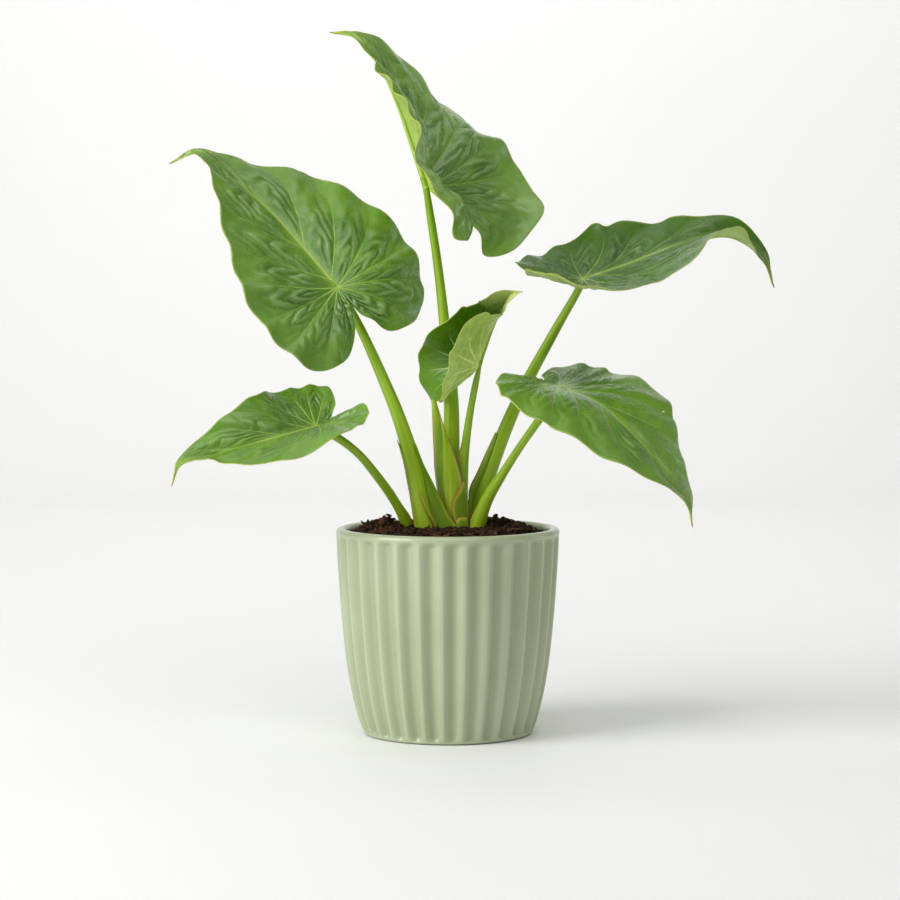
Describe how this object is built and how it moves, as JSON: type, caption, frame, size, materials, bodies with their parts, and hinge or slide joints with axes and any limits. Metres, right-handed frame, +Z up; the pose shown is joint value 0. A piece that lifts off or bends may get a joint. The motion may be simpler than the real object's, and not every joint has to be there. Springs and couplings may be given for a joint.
{
  "type": "potted alocasia",
  "caption": "Potted alocasia: arrow-shaped glossy leaves on arching sheathed stalks, standing in dark soil in a tapered, vertically fluted glazed pot.",
  "frame": {"origin": "centre of the pot's flat underside, on the surface that the pot stands on", "axes": "+Z up along the pot's axis, -Y the plant's front, +X its right-hand side"},
  "size_m": [0.4676, 0.194, 0.536],
  "materials": {
    "pot": "satin",
    "soil": "matte",
    "rhizome": "matte",
    "stalk": "satin",
    "blade": "satin",
    "young_blade": "satin"
  },
  "bodies": {
    "root": {"pot": "pot", "soil": "soil", "rhizome": "rhizome", "sheath": "stalk", "stalk_left_low": "stalk", "stalk_left_high": "stalk", "stalk_top": "stalk", "stalk_young": "stalk", "stalk_right_high": "stalk", "stalk_right_low": "stalk", "blade_left_low": "blade", "blade_left_high": "blade", "blade_top": "blade", "blade_young": "young_blade", "blade_right_high": "blade", "blade_right_low": "blade"}
  },
  "joints": []
}
